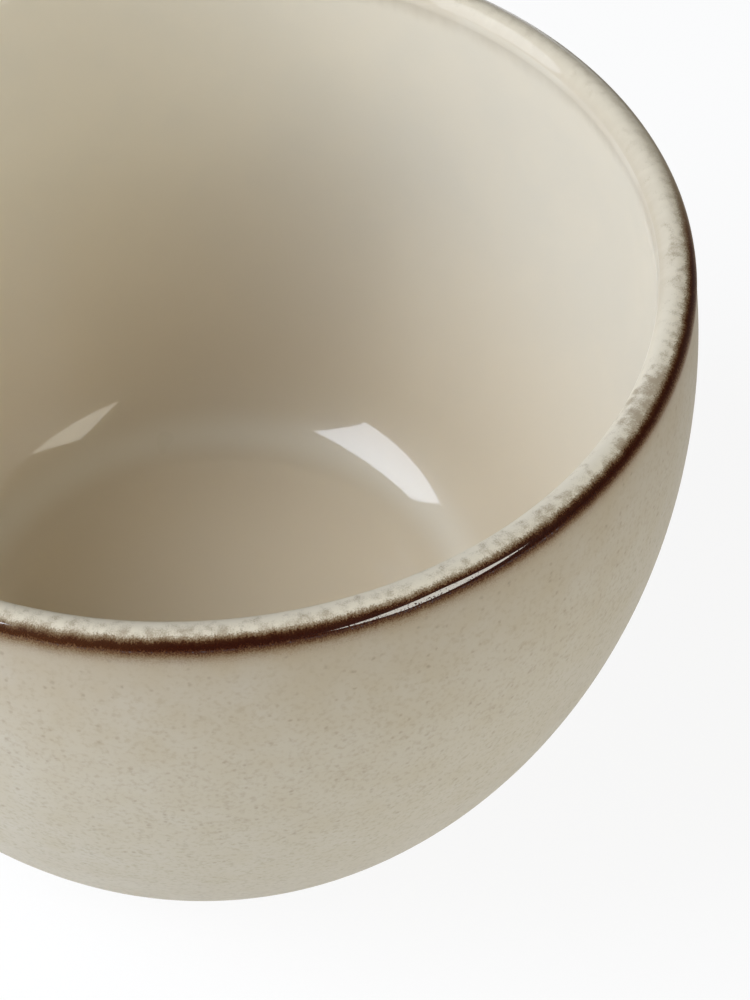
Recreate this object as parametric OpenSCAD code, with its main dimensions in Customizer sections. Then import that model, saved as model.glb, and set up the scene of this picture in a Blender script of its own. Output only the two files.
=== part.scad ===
// Latte bowl in reactive-glazed stoneware: a turned clay body on a foot ring,
// with its glaze coats as separate shells. Millimetres, +Z up, origin at the
// centre of the foot ring's bearing face.

/* [Bowl] */
// Widest outside diameter
bowl_d = 120; // [100:1:140]
// Height from the table to the top of the lip
bowl_h = 81; // [70:1:94]
// How far the widest ring lies below the top of the lip
widest_drop = 18; // [12:0.5:28]

/* [Wall] */
// Thickness of the wall, glaze included
wall_t = 4.4; // [3.6:0.1:5]
// Rounding of the lip's outside shoulder
lip_r = 2.1; // [1.2:0.05:2.2]
// Angle round the lip where its softer inside shoulder starts, 0 facing out and 90 at the top
crown_angle = 122; // [110:1:130]
// Thickness of the floor, glaze included
floor_t = 5.1; // [4:0.1:8]
// Radius of the cove between the inside wall and the floor
cove_r = 17.5; // [10:0.5:20]

/* [Foot] */
// Outside diameter of the foot ring
foot_d = 66; // [58:1:74]
// Height of the foot ring
foot_h = 3; // [2:0.1:5]
// Width of the foot ring, from its inside face to its outside face
foot_w = 5; // [3:0.1:8]
// Rounding of the foot ring's edges at the table
foot_edge_r = 0.8; // [0.3:0.1:1.2]
// How far the clay of the belly stands out past the foot ring
heel_w = 0.8; // [0.3:0.1:2]

/* [Glaze] */
// Thickness of every glaze coat
glaze_t = 0.5; // [0.3:0.05:0.8]
// Height of the outside glaze's lower edge above the foot ring
glaze_line_h = 2; // [1:0.1:5]
// How far the brown band's lower edge lies below the top of the lip
band_drop = 2.1; // [2:0.1:6]
// Angle round the lip where the brown band gives way to the pale crest
crest_angle = 62; // [30:1:80]
// Angle round the lip where the pale crest gives way to the lining
lining_angle = 160; // [135:1:180]

/* [Hidden] */
$fn = 180;

// Chords along each curve of the section
curve_steps = 24;
lip_steps = 12;
// Points of an outline that are closer than this are one point
same_point = 0.0001;

// Outside wall: one long curve, upright at the widest ring, down to the belly's turn.
// The turn lies at these shares of the way out and up from the heel to the widest ring
widest = [bowl_d / 2, bowl_h - widest_drop];
heel = [foot_d / 2 + heel_w, foot_h];
turn_out_share = 0.465;
turn_up_share = 0.169;
turn = heel + [turn_out_share * (widest.x - heel.x), turn_up_share * (widest.y - heel.y)];
wall_curve_r = upright_r(widest, turn);
wall_c = [widest.x - wall_curve_r, widest.y];
belly_angle = bearing(turn - wall_c);
inside_curve_r = wall_curve_r - wall_t;

// Lip: the outside of the wall runs into its outside shoulder, and the inside into its inside shoulder
lip_z = bowl_h - lip_r;
lip_angle = asin((lip_z - widest.y) / (wall_curve_r - lip_r));
lip_c = wall_c + (wall_curve_r - lip_r) * [cos(lip_angle), sin(lip_angle)];
crown_out = [cos(crown_angle), sin(crown_angle)];
crown = lip_c + lip_r * crown_out;
soft_r = touching_r(crown - wall_c, crown_out, inside_curve_r);
soft_c = crown - soft_r * crown_out;
soft_angle = bearing(soft_c - wall_c);

// Belly: runs on from the wall's curve, and its clay meets the foot ring's top at the heel
belly_out = [cos(belly_angle), sin(belly_angle)];
belly_curve_r = tangent_r(turn - glaze_t * belly_out, belly_out, heel) + glaze_t;
belly_c = turn - belly_curve_r * belly_out;
heel_angle = bearing(heel - belly_c);
glaze_line_angle = asin((foot_h + glaze_line_h - belly_c.y) / (belly_curve_r - glaze_t));

// Floor and cove: the cove runs into the inside wall and into the flat floor
floor_z = foot_h + floor_t;
cove_z = floor_z + cove_r;
cove_angle = asin((cove_z - widest.y) / (inside_curve_r - cove_r));
cove_c = wall_c + (inside_curve_r - cove_r) * [cos(cove_angle), sin(cove_angle)];
straight_down = -90;
half_turn = 180;

// Brown band's lower edge, on the wall's curve
band_angle = asin((bowl_h - band_drop - widest.y) / wall_curve_r);

// Foot ring
foot_out_r = foot_d / 2;
foot_in_r = foot_out_r - foot_w;

// Angle of a direction in the section, 0 outwards and 90 upwards
function bearing(v) = atan2(v.y, v.x);

// Radius of the curve that leaves point a with its outward direction out, and passes through point b
function tangent_r(a, out, b) = (a - b) * (a - b) / (2 * (a - b) * out);

// Radius of such a curve that is upright at point a
function upright_r(a, b) = tangent_r(a, [1, 0], b);

// Radius of the curve that leaves point a with its outward direction out, and touches the round of
// radius r about the origin from outside
function touching_r(a, out, r) = (a * a - r * r) / (2 * (r + a * out));

// Points along an arc of the section
function arc(c, r, from, to, steps) =
    [for (i = [0 : steps]) let (a = from + (to - from) * i / steps) c + r * [cos(a), sin(a)]];

// The same points with repeats left out, and turned end for end
function tidy(p) = [for (i = [0 : len(p) - 1]) if (i == 0 || norm(p[i] - p[i - 1]) > same_point) p[i]];
function backwards(p) = [for (i = [len(p) - 1 : -1 : 0]) p[i]];

// Stretches of the glazed surface in the order foot, wall, lip, floor, each sunk by depth into the wall
function bare_heel(depth) =
    arc(belly_c, belly_curve_r - depth, heel_angle, glaze_line_angle, lip_steps);
function outside(depth) = concat(
    arc(belly_c, belly_curve_r - depth, glaze_line_angle, belly_angle, curve_steps),
    arc(wall_c, wall_curve_r - depth, belly_angle, band_angle, curve_steps)
);
function band(depth) = concat(
    arc(wall_c, wall_curve_r - depth, band_angle, lip_angle, lip_steps),
    arc(lip_c, lip_r - depth, lip_angle, crest_angle, lip_steps)
);
function crest(depth) = concat(
    arc(lip_c, lip_r - depth, crest_angle, crown_angle, lip_steps),
    arc(soft_c, soft_r - depth, crown_angle, lining_angle, lip_steps)
);
function inside(depth) = concat(
    arc(soft_c, soft_r - depth, lining_angle, soft_angle + half_turn, lip_steps),
    arc(wall_c, inside_curve_r + depth, soft_angle, cove_angle, curve_steps),
    arc(cove_c, cove_r + depth, cove_angle, straight_down, curve_steps),
    [[0, floor_z - depth]]
);

// A coat of glaze between a stretch of the surface and the clay under it
module coat(surface, clay) {
    rotate_extrude() polygon(tidy(concat(surface, backwards(clay))));
}

// Clay wall and floor in one piece, as it comes off the wheel
module stoneware_body() {
    color("#a58e72")
    rotate_extrude() polygon(tidy(concat(
        bare_heel(glaze_t), outside(glaze_t), band(glaze_t), crest(glaze_t), inside(glaze_t),
        [[0, foot_h]]
    )));
}

// Ring of bare clay that the bowl stands on, luted under the floor
module foot_ring() {
    color("#b59c7e")
    rotate_extrude() polygon(tidy(concat(
        arc([foot_in_r + foot_edge_r, foot_edge_r], foot_edge_r, 180, 270, lip_steps),
        arc([foot_out_r - foot_edge_r, foot_edge_r], foot_edge_r, 270, 360, lip_steps),
        [[foot_out_r, foot_h], [foot_in_r, foot_h]]
    )));
}

// Cream lining, from the lip's inside edge down the wall and over the floor
module inner_glaze() {
    color("#d5ccbb") coat(inside(0), inside(glaze_t));
}

// Sand-coloured coat, from the band down to the glaze line above the foot
module outer_glaze() {
    color("#b0a893") coat(outside(0), outside(glaze_t));
}

// Brown band where the glaze breaks over the lip's outside shoulder
module rim_band() {
    color("#321306") coat(band(0), band(glaze_t));
}

// Pale crest over the top of the lip
module lip_glaze() {
    color("#d8d0be") coat(crest(0), crest(glaze_t));
}

// Glaze under the floor, inside the foot ring
module base_glaze() {
    color("#b9b09c") translate([0, 0, foot_h - glaze_t]) cylinder(r = foot_in_r, h = glaze_t);
}

stoneware_body();
foot_ring();
inner_glaze();
outer_glaze();
rim_band();
lip_glaze();
base_glaze();
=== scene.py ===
import math

import bmesh
import bpy
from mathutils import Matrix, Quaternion, Vector


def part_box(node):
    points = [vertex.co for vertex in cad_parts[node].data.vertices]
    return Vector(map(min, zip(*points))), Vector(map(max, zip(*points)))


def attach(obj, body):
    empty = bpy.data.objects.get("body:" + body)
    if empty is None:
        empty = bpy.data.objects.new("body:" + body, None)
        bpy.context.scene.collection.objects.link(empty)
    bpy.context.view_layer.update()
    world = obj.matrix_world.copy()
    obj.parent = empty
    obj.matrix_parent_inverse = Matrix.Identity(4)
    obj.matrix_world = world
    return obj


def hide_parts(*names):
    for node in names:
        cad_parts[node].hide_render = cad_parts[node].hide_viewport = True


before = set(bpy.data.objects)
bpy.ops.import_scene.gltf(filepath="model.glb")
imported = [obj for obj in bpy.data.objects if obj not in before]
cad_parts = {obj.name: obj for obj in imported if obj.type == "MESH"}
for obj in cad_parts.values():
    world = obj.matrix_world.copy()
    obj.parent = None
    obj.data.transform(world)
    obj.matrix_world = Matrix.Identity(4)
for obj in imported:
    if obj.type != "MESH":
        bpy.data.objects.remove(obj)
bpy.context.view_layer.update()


# Clay body
# The wall and the floor, thrown on the wheel from one lump of buff stoneware. Glaze covers it,
# apart from a bare strip above the foot that was wiped clean so that it can't stick in the kiln.

# Sizes in millimetres
mm = 0.001
bowl_h = round(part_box("lip_glaze")[1].z / mm, 1)
bowl_r = 60.0
widest_drop = 18.0
widest_z = bowl_h - widest_drop
foot_h = round(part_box("foot_ring")[1].z / mm, 1)
foot_r = 33.0
heel_w = 0.8
heel_r = foot_r + heel_w
wall_t = 4.4
floor_t = 5.1
floor_z = foot_h + floor_t
cove_r = 17.5
lip_r = 2.1
glaze_t = 0.5
glaze_line_h = 2.0
glaze_line_z = foot_h + glaze_line_h
band_drop = 2.1
band_z = bowl_h - band_drop

# Angles round the lip, 0 facing out and 90 at the top
crest_angle = 62.0
crown_angle = 122.0
lining_angle = 160.0


def bearing(v):
    """Angle of a direction in the section, 0 outwards and 90 upwards."""
    return math.degrees(math.atan2(v.y, v.x))


def toward(angle):
    """Unit direction in the section."""
    return Vector((math.cos(math.radians(angle)), math.sin(math.radians(angle))))


def tangent_r(a, out, b):
    """Radius of the curve that leaves a with its outward direction out, and passes through b."""
    return (a - b).length_squared / (2 * (a - b).dot(out))


# Centres and radii of the section's curves: the long wall, the belly below it, the two shoulders
# of the lip, and the cove inside
widest = Vector((bowl_r, widest_z))
heel = Vector((heel_r, foot_h))
turn_out_share = 0.465
turn_up_share = 0.169
turn = heel + Vector((turn_out_share * (widest.x - heel.x), turn_up_share * (widest.y - heel.y)))
wall_r = tangent_r(widest, toward(0), turn)
wall_c = widest - Vector((wall_r, 0))
inside_r = wall_r - wall_t
belly_angle = bearing(turn - wall_c)
belly_r = tangent_r(turn - glaze_t * toward(belly_angle), toward(belly_angle), heel) + glaze_t
belly_c = turn - belly_r * toward(belly_angle)
lip_angle = math.degrees(math.asin((bowl_h - lip_r - widest_z) / (wall_r - lip_r)))
lip_c = wall_c + (wall_r - lip_r) * toward(lip_angle)
crown = lip_c + lip_r * toward(crown_angle)
crown_arm = crown - wall_c
soft_r = (crown_arm.length_squared - inside_r ** 2) / (2 * (inside_r + crown_arm.dot(toward(crown_angle))))
soft_c = crown - soft_r * toward(crown_angle)
soft_angle = bearing(soft_c - wall_c)
cove_angle = math.degrees(math.asin((floor_z + cove_r - widest_z) / (inside_r - cove_r)))
cove_c = wall_c + (inside_r - cove_r) * toward(cove_angle)
glaze_line_angle = math.degrees(math.asin((glaze_line_z - belly_c.y) / (belly_r - glaze_t)))
band_angle = math.degrees(math.asin((band_z - widest_z) / wall_r))

# The glazed surface from the heel over the lip to the floor: centre, radius, first and last angle,
# which way the clay lies (1 towards the centre), and the length of a chord
surface = {
    "heel": (belly_c, belly_r, bearing(heel - belly_c), glaze_line_angle, 1, 0.3),
    "belly": (belly_c, belly_r, glaze_line_angle, belly_angle, 1, 0.8),
    "wall": (wall_c, wall_r, belly_angle, band_angle, 1, 0.5),
    "band_wall": (wall_c, wall_r, band_angle, lip_angle, 1, 0.08),
    "band_lip": (lip_c, lip_r, lip_angle, crest_angle, 1, 0.04),
    "crest_lip": (lip_c, lip_r, crest_angle, crown_angle, 1, 0.04),
    "crest_soft": (soft_c, soft_r, crown_angle, lining_angle, 1, 0.05),
    "lining_soft": (soft_c, soft_r, lining_angle, soft_angle + 180, 1, 0.05),
    "inside_wall": (wall_c, inside_r, soft_angle, cove_angle, -1, 1.0),
    "cove": (cove_c, cove_r, cove_angle, -90, -1, 0.6),
}

# Distance along that surface from the top of the lip, outwards and down, at the start of each stretch
along_start = {}
along = math.radians(90 - lip_angle) * lip_r + math.radians(lip_angle - band_angle) * wall_r
along += math.radians(band_angle - belly_angle) * wall_r
along += math.radians(belly_angle - surface["heel"][2]) * belly_r
for name, (centre, radius, first, last, bulge, chord) in surface.items():
    along_start[name] = along
    along -= math.radians(abs(last - first)) * radius
floor_along = along


def smooth(share):
    """0 up to 0 and 1 from 1, with a smooth rise between."""
    share = min(max(share, 0), 1)
    return share * share * (3 - 2 * share)


def roll(along):
    """How far the glaze stands out below the lip's shoulder, where it slid down and pooled in the fire."""
    roll_t = 0.18
    swells_from = 0.9
    fullest = 2.3
    fades_to = 4.2
    swell = smooth((along - swells_from) / (fullest - swells_from))
    return roll_t * (swell - smooth((along - fullest) / (fades_to - fullest)))


def stretch(names, depth):
    """Points (radius, height, distance along the surface) of these stretches, sunk by depth. Under the
    glaze, where nothing shows, the chords are longer."""
    hidden_chords = 4
    points = []
    for name in names:
        centre, radius, first, last, bulge, chord = surface[name]
        length = math.radians(abs(last - first)) * radius
        steps = max(2, round(length / (chord if depth == 0 else hidden_chords * chord)))
        for i in range(steps + 1):
            share = i / steps
            along = along_start[name] - length * share
            proud = roll(along) if depth == 0 else -depth
            p = centre + (radius + bulge * proud) * toward(first + (last - first) * share)
            points.append((p.x, p.y, along))
    return points


def floor_points(depth, steps):
    """Points of the flat floor from the cove to its middle, sunk by depth."""
    shares = [i / steps for i in range(1, steps + 1)]
    return [(cove_c.x * (1 - s), floor_z - depth, floor_along - cove_c.x * s) for s in shares]


class Wire:
    """A socket of a node tree. Sums on it add Math nodes, and node() adds any other node."""

    def __init__(self, socket):
        self.socket = socket
        self.tree = socket.id_data

    def node(self, kind, settings, values, output=0):
        """Adds a node: settings first, then values or links of its sockets. Gives one of its outputs."""
        made = self.tree.nodes.new(kind)
        for name, value in settings.items():
            if name == "stops":
                for i, (position, colour) in enumerate(value):
                    stop = made.color_ramp.elements[i] if i < 2 else made.color_ramp.elements.new(position)
                    stop.position = position
                    stop.color = colour
            else:
                setattr(made, name, value)
        for key, value in values.items():
            if isinstance(value, Wire):
                self.tree.links.new(value.socket, made.inputs[key])
            else:
                made.inputs[key].default_value = value
        return Wire(made.outputs[output])

    def math(self, operation, first, second=0.0):
        return self.node("ShaderNodeMath", {"operation": operation}, {0: first, 1: second})

    def __add__(self, other):
        return self.math("ADD", self, other)

    def __radd__(self, other):
        return self.math("ADD", other, self)

    def __sub__(self, other):
        return self.math("SUBTRACT", self, other)

    def __rsub__(self, other):
        return self.math("SUBTRACT", other, self)

    def __mul__(self, other):
        return self.math("MULTIPLY", self, other)

    def __rmul__(self, other):
        return self.math("MULTIPLY", other, self)

    def __truediv__(self, other):
        return self.math("DIVIDE", self, other)

    def __rtruediv__(self, other):
        return self.math("DIVIDE", other, self)

    def __pow__(self, other):
        return self.math("POWER", self, other)

    def __rpow__(self, other):
        return self.math("POWER", other, self)

    def vector(self, operation, second, output=0):
        """Vector Math of this vector and a second one."""
        return self.node("ShaderNodeVectorMath", {"operation": operation}, {0: self, 1: second}, output)

    def ease(self, low, high):
        """0 below low and 1 above high, with a smooth rise between."""
        limits = {"Value": self, "From Min": low, "From Max": high}
        return self.node("ShaderNodeMapRange", {"interpolation_type": "SMOOTHSTEP"}, limits)

    def noise(self, scale, seed, detail=2.0, roughness=0.5, output=0):
        """Noise of about 0 to 1 at this place."""
        values = {"Vector": self, "W": seed, "Scale": scale, "Detail": detail, "Roughness": roughness}
        return self.node("ShaderNodeTexNoise", {"noise_dimensions": "4D"}, values, output)

    def mix(self, first, second):
        """First colour where this is 0, second where it is 1."""
        return self.node("ShaderNodeMix", {"data_type": "RGBA"}, {0: self, 6: first, 7: second}, 2)


def turning_tree():
    """Geometry Nodes tree that turns a section about the bowl's axis, with the small unevenness of
    hand work: a mouth that isn't quite round, a lip that isn't quite level, and ripples in the glaze."""
    tree = bpy.data.node_groups.new("turned_piece", "GeometryNodeTree")
    face = tree.interface
    face.new_socket("Geometry", in_out="OUTPUT", socket_type="NodeSocketGeometry")
    face.new_socket("Section", in_out="INPUT", socket_type="NodeSocketGeometry")
    face.new_socket("Chords around", in_out="INPUT", socket_type="NodeSocketInt")
    for name in ("Out of round", "Lip sway", "Ripple", "Even below", "Uneven above"):
        face.new_socket(name, in_out="INPUT", socket_type="NodeSocketFloat")
    face.new_socket("Material", in_out="INPUT", socket_type="NodeSocketMaterial")
    entry = tree.nodes.new("NodeGroupInput")
    given = {socket.name: Wire(socket) for socket in entry.outputs if socket.name}
    section = given["Section"]

    # A flat grid, one row for each point of the section, is wrapped round the axis
    rows = section.node("GeometryNodeAttributeDomainSize", {"component": "MESH"}, {"Geometry": section})
    grid = section.node("GeometryNodeMeshGrid", {}, {
        "Size X": 1.0, "Size Y": 1.0, "Vertices X": given["Chords around"] + 1, "Vertices Y": rows})
    flat = section.node("GeometryNodeInputPosition", {}, {})
    split = [flat.node("ShaderNodeSeparateXYZ", {}, {0: flat}, axis) for axis in range(3)]
    row = section.math("ROUND", (split[1] + 0.5) * (rows - 1))
    around = (split[0] + 0.5) * math.tau
    spot = section.node("GeometryNodeSampleIndex", {"data_type": "FLOAT_VECTOR"}, {
        "Geometry": section, "Value": flat, "Index": row})
    out = [spot.node("ShaderNodeSeparateXYZ", {}, {0: spot}, axis) for axis in range(3)]
    distance = section.node("GeometryNodeInputNamedAttribute", {"data_type": "FLOAT"}, {"Name": "along"})
    distance = section.node("GeometryNodeSampleIndex", {"data_type": "FLOAT"}, {
        "Geometry": section, "Value": distance, "Index": row})
    shell = section.node("GeometryNodeStoreNamedAttribute", {"data_type": "FLOAT"}, {
        "Geometry": grid, "Name": "along", "Value": distance})
    wrapped = section.node("ShaderNodeCombineXYZ", {}, {
        0: out[0] * section.math("COSINE", around), 1: out[0] * section.math("SINE", around), 2: out[2]})
    shell = section.node("GeometryNodeSetPosition", {}, {"Geometry": shell, "Position": wrapped})
    shell = section.node("GeometryNodeMergeByDistance", {}, {"Geometry": shell, "Distance": 1e-6})

    # Unevenness, which fades out towards the foot
    place = section.node("GeometryNodeInputPosition", {}, {})
    height = place.node("ShaderNodeSeparateXYZ", {}, {0: place}, 2)
    uneven = height.ease(given["Even below"], given["Uneven above"])
    side = place.vector("MULTIPLY", (1, 1, 0)).vector("NORMALIZE", (0, 0, 0))
    narrow_side = Vector((0.94, 0.34, 0))
    lobe = side.vector("DOT_PRODUCT", narrow_side, 1) ** 2
    shrink = lobe * uneven * given["Out of round"]
    sway = side.noise(1.3, 4.0) * uneven * given["Lip sway"]
    inward = side.node("ShaderNodeVectorMath", {"operation": "SCALE"}, {0: side, "Scale": 0 - shrink})
    sunk = side.node("ShaderNodeCombineXYZ", {}, {2: 0 - sway})
    ripple = place.noise(110.0, 9.0, detail=1.0, output=1).vector("SUBTRACT", (0.5, 0.5, 0.5))
    ripple = side.node("ShaderNodeVectorMath", {"operation": "SCALE"}, {
        0: ripple, "Scale": given["Ripple"] * uneven})
    moved = inward.vector("ADD", sunk).vector("ADD", ripple)
    shell = section.node("GeometryNodeSetPosition", {}, {"Geometry": shell, "Offset": moved})
    shell = section.node("GeometryNodeSetShadeSmooth", {}, {0: shell})
    shell = section.node("GeometryNodeRealizeInstances", {}, {0: shell})
    shell = section.node("GeometryNodeSetMaterial", {}, {"Geometry": shell, "Material": given["Material"]})
    leave = tree.nodes.new("NodeGroupOutput")
    tree.links.new(shell.socket, leave.inputs[0])
    return tree


turning = turning_tree()


def evaluated_piece(name, source, tree, inputs):
    """The plain mesh that a Geometry Nodes tree makes from a source mesh, as an object."""
    holder = bpy.data.objects.new(name + "_source", source)
    bpy.context.scene.collection.objects.link(holder)
    modifier = holder.modifiers.new("tree", "NODES")
    modifier.node_group = tree
    for socket in tree.interface.items_tree:
        if socket.in_out == "INPUT" and socket.name in inputs:
            modifier[socket.identifier] = inputs[socket.name]
    bpy.context.view_layer.update()
    made = bpy.data.meshes.new_from_object(holder.evaluated_get(bpy.context.evaluated_depsgraph_get()))
    holder.modifiers.remove(modifier)
    bpy.data.objects.remove(holder)
    made.name = name
    piece = bpy.data.objects.new(name, made)
    bpy.context.scene.collection.objects.link(piece)
    return piece


def turned(name, points, material):
    """A turned piece from the points (radius, height, distance along) of its section."""
    source = bpy.data.meshes.new(name + "_section")
    source.from_pydata([(r * mm, 0, z * mm) for r, z, distance in points], [], [])
    mark = source.attributes.new("along", "FLOAT", "POINT")
    mark.data.foreach_set("value", [distance for r, z, distance in points])
    piece = evaluated_piece(name, source, turning, {
        "Chords around": 360, "Out of round": 0.15 * mm, "Lip sway": 0.12 * mm, "Ripple": 0.05 * mm,
        "Even below": glaze_line_z * mm, "Uneven above": bowl_h / 2 * mm, "Material": material})
    mesh = bmesh.new()
    mesh.from_mesh(piece.data)
    bmesh.ops.recalc_face_normals(mesh, faces=mesh.faces)
    mesh.to_mesh(piece.data)
    mesh.free()
    crease_angle = 50
    piece.data.set_sharp_from_angle(angle=math.radians(crease_angle))
    return piece


def seat(piece, node):
    """The piece stands for a node of the frame: it rides with the root body, and the node's own mesh is
    hidden.
    """
    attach(piece, "root")
    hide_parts(node)


def srgb(red, green, blue):
    """Colour from screen values of 0 to 255."""
    def linear(value):
        share = value / 255
        return share / 12.92 if share <= 0.04045 else ((share + 0.055) / 1.055) ** 2.4
    return (linear(red), linear(green), linear(blue), 1.0)


def finish_of(name, **settings):
    """A new material with its shader's even values set. Gives the material, its shader's node and a
    wire that carries the place on the piece in millimetres."""
    material = bpy.data.materials.new(name)
    material.use_nodes = True
    shader = material.node_tree.nodes["Principled BSDF"]
    for socket, value in settings.items():
        shader.inputs[socket.replace("_", " ")].default_value = value
    place = Wire(material.node_tree.nodes.new("ShaderNodeTexCoord").outputs["Object"])
    return material, shader, place.vector("MULTIPLY", (1 / mm, 1 / mm, 1 / mm))


def feed(shader, colour, roughness, height, bump, gloss=None):
    """Links what changes over a surface to its shader: height is in millimetres, bump its share that
    shows, and gloss the share of the clear skin on top."""
    links = shader.id_data.links
    if gloss:
        links.new(gloss.socket, shader.inputs["Coat Weight"])
    links.new(colour.socket, shader.inputs["Base Color"])
    links.new(roughness.socket, shader.inputs["Roughness"])
    normal = height.node("ShaderNodeBump", {}, {"Strength": bump, "Distance": mm, "Height": height})
    links.new(normal.socket, shader.inputs["Normal"])


def bare_clay(name, pale, dark):
    """Fired buff clay: open grain, iron spots and turning marks."""
    material, shader, place = finish_of(name, IOR=1.45, Specular_IOR_Level=0.25)
    grain = place.noise(3.0, 1.0, detail=4.0, roughness=0.6)
    cloud = place.noise(0.15, 2.0)
    spots = place.noise(1.6, 3.0, detail=1.0).ease(0.68, 0.74)
    rings = place.vector("MULTIPLY", (0.05, 0.05, 1.0)).noise(4.0, 5.0)
    colour = (grain * 0.6 + cloud * 0.4).ease(0.3, 0.7).mix(dark, pale)
    colour = (spots * 0.7).mix(colour, srgb(92, 62, 40))
    feed(shader, colour, 0.78 + grain * 0.2, grain * 0.06 + rings * 0.05 - spots * 0.05, 0.6)
    return material


clay = bare_clay("buff_clay", srgb(190, 165, 134), srgb(158, 130, 100))
body_line = ["heel", "belly", "wall", "band_wall", "band_lip", "crest_lip", "crest_soft", "lining_soft",
             "inside_wall", "cove"]
body_section = [(0, foot_h, 0)]
body_section += stretch(body_line, glaze_t)
body_section += floor_points(glaze_t, 2)
seat(turned("clay_body", body_section, clay), "stoneware_body")


# Foot ring
# The ring that the bowl stands on, turned from the same clay and luted under the floor. It is
# left bare, with its edges rounded by a wet sponge.

foot_w = 5.0
foot_edge_r = 0.8
foot_edge_steps = 12
foot_section = []
for centre_r, first in ((foot_r - foot_w + foot_edge_r, 180), (foot_r - foot_edge_r, 270)):
    for i in range(foot_edge_steps + 1):
        p = Vector((centre_r, foot_edge_r)) + foot_edge_r * toward(first + 90 * i / foot_edge_steps)
        foot_section.append((p.x, p.y, 0))
foot_section += [(foot_r, foot_h, 0), (foot_r - foot_w, foot_h, 0), foot_section[0]]
foot_clay = bare_clay("foot_clay", srgb(196, 170, 138), srgb(166, 138, 106))
seat(turned("foot_ring_clay", foot_section, foot_clay), "foot_ring")


# Brown band
# Iron-rich glaze brushed round the shoulder of the lip. In the fire it ran into the coats on both
# sides, so its upper edge is feathered and its lower edge fades into the sand coat.

pale_lip = srgb(209, 198, 176)
# The stain colour also serves as the painted shade of the tan line below the lip's inner edge
stain_and_shade = srgb(140, 123, 99)
sand = srgb(180, 170, 151)
cream = srgb(223, 214, 195)


def rim_colour(place):
    """Colour over the lip, from the lining over the crest and the band to the sand coat, with the share
    of clear skin on it. Every coat reads the same field, so that its edges run into its neighbours."""
    distance = Wire(place.tree.nodes.new("ShaderNodeAttribute").outputs["Fac"])
    distance.socket.node.attribute_name = "along"
    side = place.vector("MULTIPLY", (1, 1, 0)).vector("NORMALIZE", (0, 0, 0))
    ring = side.vector("MULTIPLY", (bowl_r, bowl_r, 0))
    strip = ring.vector("ADD", place.node("ShaderNodeCombineXYZ", {}, {2: distance}))
    combed = strip.vector("MULTIPLY", (1, 1, 0.35))

    def facing(angle):
        """How much the surface lies on this side of the bowl, 0 at the right, 90 at the back."""
        return side.vector("DOT_PRODUCT", toward(angle).to_3d(), 1)

    # The brush rode higher at the right, and its load was thin at the back right and the front left.
    # The crest is more broken for a short way at the front right, and smooth at the back right
    lift = facing(0).ease(0.55, 0.97) * 0.35
    load = 1 - facing(50).ease(0.47, 0.82) * 0.85 - facing(-118).ease(0.9, 1.0) * 0.22
    broken = facing(-31).ease(0.992, 1.0)
    rear = facing(50).ease(0.5, 0.85)

    # Iron runs up in hairs and tongues, and fades out below in a grainy haze
    hair = combed.noise(4.5, 11.0, detail=3.0, roughness=0.6) - 0.5
    tongue = combed.noise(0.7, 12.0) - 0.5
    grain = strip.noise(6.0, 13.0, detail=1.0) - 0.5
    upper = distance + hair * 0.5 + tongue * 0.6 + grain * 0.9
    lower = distance + lift + hair * 0.4 + tongue * 0.4 + grain * 1.4
    haze = math.e ** ((3.1 - lower) / 1.2) * 0.45
    iron = upper.ease(0.45, 1.83) * place.math("MINIMUM", haze, 1.0) * load
    tinge = math.e ** ((0 - distance) / 18.0) * 0.7

    # Coats under the iron, stained where the pale one runs thin towards the band
    coat = distance.ease(0.3, 2.5).mix(pale_lip, tinge.mix(sand, stain_and_shade))
    coat = (0 - distance).ease(2.2, 3.4).mix(coat, cream)
    blotch = strip.noise(0.8, 14.0, detail=1.0)
    thin = (blotch + grain * 0.55 + broken * 0.2 + distance * 0.1).ease(0.38, 0.85)
    coat = (thin * (0 - distance).ease(-2.5, -0.5) * (0.75 - rear * 0.45)).mix(coat, stain_and_shade)

    # A tan line of painted shade inside, from the right to the back, below the lip's inner edge, reaching
    # further up the crest at the back right
    painted_lip_shade = 1 - place.math("ABSOLUTE", distance + 3.7 - rear * 0.6 + tongue * 1.5).ease(0.2, 3.8)
    coat = (painted_lip_shade * facing(28).ease(0.58, 0.82) * (0.48 - rear * 0.1)).mix(coat, stain_and_shade)

    # The iron deepens from a tan haze to a near black brown, and its skin is the glossiest
    stops = [(0.0, srgb(158, 144, 122)), (1.0, srgb(44, 12, 2)), (0.3, srgb(136, 119, 96)),
             (0.45, srgb(117, 97, 73)), (0.6, srgb(95, 69, 45)), (0.78, srgb(63, 33, 14))]
    deep = iron.node("ShaderNodeValToRGB", {"stops": stops}, {"Fac": iron})
    gloss = 0.1 + rear * 0.15 + upper.ease(0.8, 1.4) * 0.9 + (0 - distance).ease(3.5, 7.0) * 0.4
    gloss = gloss * (1 - (lower + lift * 2.0).ease(2.05, 2.4))
    return iron.ease(0.0, 0.3).mix(coat, deep), gloss


iron_glaze, iron_shader, place = finish_of(
    "iron_brown_glaze", Specular_IOR_Level=0.05, Coat_IOR=1.9, Coat_Roughness=0.05)
colour, gloss = rim_colour(place)
pits = place.noise(5.0, 21.0)
feed(iron_shader, colour, 0.45 - gloss * 0.15, pits * 0.03, 0.5, gloss * (1 - pits.ease(0.6, 0.66)))
band = ["band_wall", "band_lip"]
band_points = stretch(band, 0)
band_section = band_points + stretch(band, glaze_t)[::-1] + band_points[:1]
seat(turned("brown_band", band_section, iron_glaze), "rim_band")


# Pale crest
# The coat over the top of the lip, where the sand glaze runs thin over the clay and breaks to a
# mottled cream. It is dipped with the outside, and runs into the lining on the lip's inside shoulder.

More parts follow.
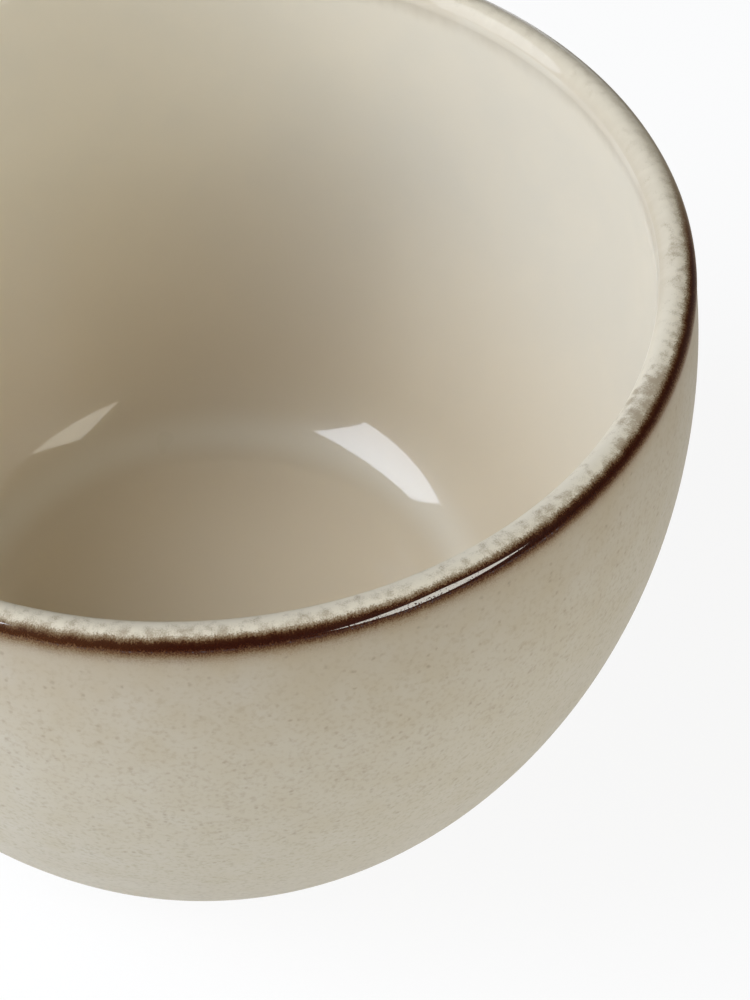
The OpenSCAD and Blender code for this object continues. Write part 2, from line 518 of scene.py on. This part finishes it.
crest_glaze, crest_shader, place = finish_of(
    "pale_crest_glaze", Specular_IOR_Level=0.02, Coat_IOR=1.6, Coat_Roughness=0.03)
colour, gloss = rim_colour(place)
dimples = place.noise(1.1, 22.0, detail=3.0)
feed(crest_shader, colour, 0.3 + dimples * 0.1, dimples * 0.06, 0.2, gloss)
crest = ["crest_lip", "crest_soft"]
crest_points = stretch(crest, 0)
crest_section = crest_points + stretch(crest, glaze_t)[::-1] + crest_points[:1]
seat(turned("pale_crest", crest_section, crest_glaze), "lip_glaze")


# Sand coat
# Satin glaze that covers the outside, poured and wiped back above the foot, where its edge is round.
# Iron in the clay burns through it as fine brown specks.

def specked(place, colour):
    """Iron specks of a few tenths of a millimetre over a colour, most of them faint, and their share."""
    wavering = place.vector("ADD", place.noise(2.0, 33.0, output=1).vector("MULTIPLY", (0.5, 0.5, 0.5)))
    cells = {"Vector": wavering, "Scale": 1.0}
    near = 1 - place.node("ShaderNodeTexVoronoi", {}, cells).ease(0.06, 0.36)
    lot = place.node("ShaderNodeTexVoronoi", {}, cells, 1)
    lot = place.node("ShaderNodeSeparateColor", {}, {0: lot})
    share = near * lot.ease(0.4, 1.0) * 0.36
    return share.mix(colour, srgb(114, 99, 80)), share


def clouded(place, colour):
    """Warm and greyish clouds of a few millimetres over a colour, and its fine grain."""
    cloud = place.noise(0.2, 31.0, detail=3.0) - 0.5
    colour = place.node("ShaderNodeHueSaturation", {}, {
        "Color": colour, "Saturation": 1 + cloud * 0.4, "Value": 1 - cloud * 0.12})
    grain = place.noise(1.6, 32.0, detail=3.0, roughness=0.6)
    return (grain.ease(0.46, 0.72) * 0.44).mix(colour, srgb(148, 135, 113)), grain


sand_glaze, sand_shader, place = finish_of("sand_glaze", Specular_IOR_Level=0.1)
colour, gloss = rim_colour(place)
colour, grain = clouded(place, colour)
colour, specks = specked(place, colour)
feed(sand_shader, colour, 0.45 + grain * 0.1, grain * 0.03 - specks * 0.04, 0.5)
outside = ["belly", "wall"]
outside_points = stretch(outside, 0)
edge_r = glaze_t
edge_steps = 6
edge_points = []
for i in range(1, edge_steps):
    lean = math.radians(90 * i / edge_steps)
    edge_angle = glaze_line_angle + math.degrees(edge_r * (1 - math.sin(lean)) / belly_r)
    p = belly_c + (belly_r - glaze_t + glaze_t * math.sin(lean)) * toward(edge_angle)
    edge_points.append((p.x, p.y, along_start["belly"]))
outside_start = [p for p in outside_points if p[2] < along_start["belly"] - edge_r]
outside_section = edge_points + outside_start + stretch(outside, glaze_t)[::-1] + edge_points[:1]
seat(turned("sand_coat", outside_section, sand_glaze), "outer_glaze")


# Cream lining
# Gloss glaze poured inside and swirled round, so that it covers the floor and the wall up to the lip.
# Painted shade makes it warmer and darker towards the floor, and a painted reflection makes it pale in a
# ring round the turn of the floor.

warm_shade_top = 58.0
reflection_ring_r = 35.5
reflection_ring_w = 4.2
lining, lining_shader, place = finish_of(
    "cream_lining_glaze", Specular_IOR_Level=0.2, Coat_IOR=1.6, Coat_Roughness=0.05)
colour, gloss = rim_colour(place)
cloud = place.noise(0.09, 41.0)
colour = (cloud.ease(0.4, 0.65) * 0.25).mix(colour, srgb(213, 207, 192))
# Painted warm shade: the colour turns warmer and darker towards the floor, fading out up the wall
painted_warm_shade = 1 - place.node("ShaderNodeSeparateXYZ", {}, {0: place}, 2).ease(floor_z, warm_shade_top)
colour = (painted_warm_shade * 0.8).mix(colour, srgb(219, 202, 174))
# A pale ring round the turn of the floor, painted as a reflection of the bright wall in the glaze
reach = place.vector("MULTIPLY", (1, 1, 0)).vector("LENGTH", (0, 0, 0), 1)
painted_reflection_ring = 1 - place.math("ABSOLUTE", reach - reflection_ring_r).ease(0.0, reflection_ring_w)
colour = (painted_reflection_ring * 0.7).mix(colour, srgb(231, 221, 201))
feed(lining_shader, colour, 0.25 + cloud * 0.1, cloud * 0.1, 0.3, gloss)
inside = ["lining_soft", "inside_wall", "cove"]
inside_surface = stretch(inside, 0) + floor_points(0, 24)
inside_section = inside_surface[::-1] + stretch(inside, glaze_t) + floor_points(glaze_t, 4)
seat(turned("cream_lining", inside_section, lining), "inner_glaze")


# Base glaze
# A thin coat of the sand glaze, brushed under the floor inside the foot ring. It creeps a little way
# onto the ring, in a hollow curve.

base_glaze, base_shader, place = finish_of("base_glaze", Specular_IOR_Level=0.35)
even = place.node("ShaderNodeCombineColor", {}, {0: sand[0], 1: sand[1], 2: sand[2]})
colour, grain = clouded(place, even)
colour, specks = specked(place, colour)
feed(base_shader, colour, 0.4 + grain * 0.1, grain * 0.05 - specks * 0.04, 0.5)
base_r = foot_r - foot_w
base_z = foot_h - glaze_t
base_section = [(0, foot_h, 0), (base_r, foot_h, 0)]
meniscus_r = 0.7
meniscus_steps = 8
for i in range(meniscus_steps + 1):
    p = Vector((base_r - meniscus_r, base_z - meniscus_r)) + meniscus_r * toward(90 * i / meniscus_steps)
    base_section.append((p.x, p.y, 0))
base_steps = 12
base_section += [(base_r * (1 - i / base_steps), base_z, 0) for i in range(1, base_steps + 1)]
seat(turned("base_coat", base_section, base_glaze), "base_glaze")


# Stage
# A plain pale floor with a dim backdrop, a softbox at each side, and a low lamp in front that fills the
# shade and doesn't show in the glaze.

scene = bpy.context.scene
scene.view_settings.view_transform = "Standard"

floor_mesh = bpy.data.meshes.new("floor")
floor_half = 3.0
corners = [(x * floor_half, y * floor_half, 0) for x, y in ((-1, -1), (1, -1), (1, 1), (-1, 1))]
floor_mesh.from_pydata(corners, [], [(0, 1, 2, 3)])
floor = bpy.data.objects.new("floor", floor_mesh)
scene.collection.objects.link(floor)
floor_paint = bpy.data.materials.new("floor_paint")
floor_paint.use_nodes = True
floor_mesh.materials.append(floor_paint)
nodes = floor_paint.node_tree.nodes
links = floor_paint.node_tree.links
paint = nodes["Principled BSDF"]
paint.inputs["Base Color"].default_value = (0.8, 0.8, 0.79, 1)
paint.inputs["Roughness"].default_value = 0.9
glow = nodes.new("ShaderNodeEmission")
seen = nodes.new("ShaderNodeLightPath")
plain = Wire(seen.outputs["Is Camera Ray"])
plain = plain.math("MAXIMUM", plain, Wire(seen.outputs["Is Glossy Ray"]))
plain = plain.math("MAXIMUM", plain, Wire(seen.outputs["Is Transmission Ray"]))
away = Wire(nodes.new("ShaderNodeTexCoord").outputs["Object"]).vector("LENGTH", (0, 0, 0), 1)
shadow_share = 0.1
plain = plain * (1 - shadow_share + away.ease(0.2, 0.6) * shadow_share)
blend = nodes.new("ShaderNodeMixShader")
links.new(plain.socket, blend.inputs["Fac"])
links.new(paint.outputs["BSDF"], blend.inputs[1])
links.new(glow.outputs["Emission"], blend.inputs[2])
links.new(blend.outputs["Shader"], nodes["Material Output"].inputs["Surface"])

world = bpy.data.worlds.new("room")
world.use_nodes = True
scene.world = world
room = world.node_tree.nodes["Background"]
room.inputs["Color"].default_value = (1, 1, 1, 1)
backdrop_light = 0.35
ceiling_light = 0.03
direction = Wire(world.node_tree.nodes.new("ShaderNodeTexCoord").outputs["Generated"])
behind = direction.node("ShaderNodeSeparateXYZ", {}, {0: direction}, 1).ease(-0.4, 0.4)
above = direction.node("ShaderNodeSeparateXYZ", {}, {0: direction}, 2).ease(0.05, 0.4)
backdrop = behind * (1 - above)
light = ceiling_light + backdrop * (backdrop_light - ceiling_light)
rays = world.node_tree.nodes.new("ShaderNodeLightPath")
mirrored = Wire(rays.outputs["Is Glossy Ray"])
mirrored = light.math("MAXIMUM", mirrored, Wire(rays.outputs["Is Transmission Ray"]))
white = light.math("MAXIMUM", Wire(rays.outputs["Is Camera Ray"]), mirrored * backdrop)
world.node_tree.links.new((light + white * (1 - light)).socket, room.inputs["Strength"])


def softbox(name, azimuth, elevation, turn, width, height, power, tint):
    """A soft lamp a metre from the bowl's middle that faces it, azimuth 0 in front and 90 at the right."""
    lamp = bpy.data.lights.new(name, "AREA")
    lamp.shape = "RECTANGLE"
    lamp.size = width
    lamp.size_y = height
    lamp.energy = power
    lamp.color = tint
    box = bpy.data.objects.new(name, lamp)
    box.visible_camera = False
    a = math.radians(azimuth)
    e = math.radians(elevation)
    back = Vector((math.sin(a) * math.cos(e), -math.cos(a) * math.cos(e), math.sin(e)))
    bowl_middle = Vector((0, 0, 0.05))
    box.location = bowl_middle + back
    box.rotation_mode = "QUATERNION"
    box.rotation_quaternion = back.to_track_quat("Z", "Y") @ Quaternion((0, 0, 1), math.radians(turn))
    scene.collection.objects.link(box)
    return box


softbox("left_softbox", azimuth=-82.5, elevation=31, turn=8, width=0.62, height=1.24, power=18.0,
        tint=(0.92, 1.0, 1.14))
softbox("right_softbox", azimuth=42, elevation=32, turn=-45, width=0.33, height=0.72, power=3.9,
        tint=(1.0, 0.98, 0.88))
fill = softbox("front_fill", azimuth=20, elevation=8, turn=0, width=1.2, height=0.5, power=5.0,
               tint=(0.92, 1.0, 1.1))
fill.visible_glossy = False


# Camera
# Above the front of the bowl and close to it, so that the left side and the back run out of the picture.

photo_w = 750
photo_h = 1000
focal_pixels = 2600
camera_pitch = 0.855544
camera_yaw = 0.0969642
camera_back = 220.70
camera_rise = 207.83
lens = bpy.data.cameras.new("camera")
lens.sensor_width = 36.0
lens.lens = lens.sensor_width * focal_pixels / max(photo_w, photo_h)
camera = bpy.data.objects.new("camera", lens)
camera.location = Vector((0, -camera_back, bowl_h + camera_rise)) * mm
camera.rotation_euler = (math.pi / 2 - camera_pitch, 0, -camera_yaw)
scene.collection.objects.link(camera)
scene.camera = camera
